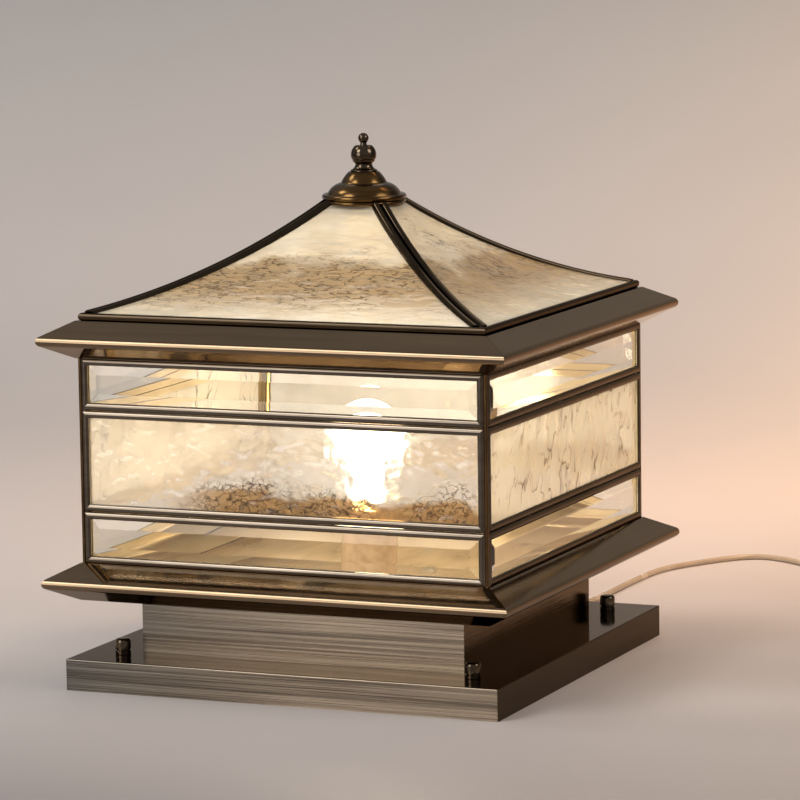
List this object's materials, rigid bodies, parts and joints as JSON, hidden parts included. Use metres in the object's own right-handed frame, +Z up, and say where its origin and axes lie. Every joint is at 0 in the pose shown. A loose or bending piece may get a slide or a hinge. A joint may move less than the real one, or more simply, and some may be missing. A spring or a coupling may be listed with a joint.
{
  "type": "corded pillar lantern",
  "caption": "Square bronze pillar lantern with bevelled and textured glass, flared eaves, a lift-off pagoda roof with a finial, and a clear mains cord",
  "frame": {"origin": "centre of the base tray's underside", "axes": "+Z up, front face towards -Y, the cord leaves the back towards +Y, right face towards +X"},
  "size_m": [0.481, 0.8082, 0.4374],
  "materials": {
    "bronze": "antique bronze, brushed on the front faces, lacquered",
    "dark_bronze": "dark patinated bronze, semi-gloss",
    "came_metal": "antique brass came, satin",
    "dark_solder": "dark soldered bar, dull",
    "pin_brass": "plain brass, satin",
    "zinc_steel": "zinc plated",
    "nickel": "nickel plated",
    "black_rubber": "matt",
    "porcelain": "glazed white",
    "clear_glass": "clear, bevelled edges",
    "textured_glass": "cream water-ripple texture",
    "roof_glass": "streaky water-ripple texture",
    "bulb_glass": "frosted, lit",
    "cord_sheath": "clear PVC over pale cores"
  },
  "bodies": {
    "body": {"anchor_studs": "zinc_steel", "back_frame": "came_metal", "back_lower_pane": "clear_glass", "back_middle_pane": "textured_glass", "back_upper_pane": "clear_glass", "base_tray": "bronze", "bridge_bar": "bronze", "bridge_screws": "zinc_steel", "cap_nuts": "dark_bronze", "coil_tie": "black_rubber", "cord": "cord_sheath", "cord_coil": "cord_sheath", "cord_gland": "cord_sheath", "corner_rods": "dark_solder", "floor_plate": "bronze", "front_frame": "came_metal", "front_lower_pane": "clear_glass", "front_middle_pane": "textured_glass", "front_upper_pane": "clear_glass", "holder_nipple": "zinc_steel", "inner_cord": "cord_sheath", "lampholder_body": "porcelain", "lampholder_shell": "pin_brass", "lead_wires": "cord_sheath", "left_frame": "came_metal", "left_lower_pane": "clear_glass", "left_middle_pane": "textured_glass", "left_upper_pane": "clear_glass", "lower_eave": "bronze", "mounting_bars": "zinc_steel", "neck_bolts": "zinc_steel", "neck_box": "bronze", "neck_nuts": "zinc_steel", "nipple_nut": "zinc_steel", "pin_grommets": "black_rubber", "plug_body": "cord_sheath", "plug_pins": "nickel", "right_frame": "came_metal", "right_lower_pane": "clear_glass", "right_middle_pane": "textured_glass", "right_upper_pane": "clear_glass", "terminal_block": "porcelain", "upper_eave": "bronze"},
    "roof": {"roof_rim": "bronze", "hip_bars": "came_metal", "roof_collar": "dark_bronze", "roof_cap": "dark_bronze", "roof_strap": "bronze", "roof_pins": "pin_brass", "pin_nuts": "zinc_steel", "finial_stud": "zinc_steel", "finial_nut": "zinc_steel", "front_roof_pane": "roof_glass", "right_roof_pane": "roof_glass", "back_roof_pane": "roof_glass", "left_roof_pane": "roof_glass"},
    "finial": {"finial": "dark_bronze"},
    "bulb": {"bulb_envelope": "bulb_glass", "bulb_cap": "nickel"}
  },
  "joints": [
    {"name": "roof_lift", "type": "slide", "parent": "body", "child": "roof", "axis": [0, 0, 1], "range_m": [0, 0.25]},
    {"name": "finial_turn", "type": "hinge", "parent": "roof", "child": "finial", "pos_m": [0, 0, 0.406], "axis": [0, 0, 1], "continuous": true},
    {"name": "bulb_turn", "type": "hinge", "parent": "body", "child": "bulb", "pos_m": [0, 0, 0.1], "axis": [0, 0, 1], "continuous": true}
  ]
}
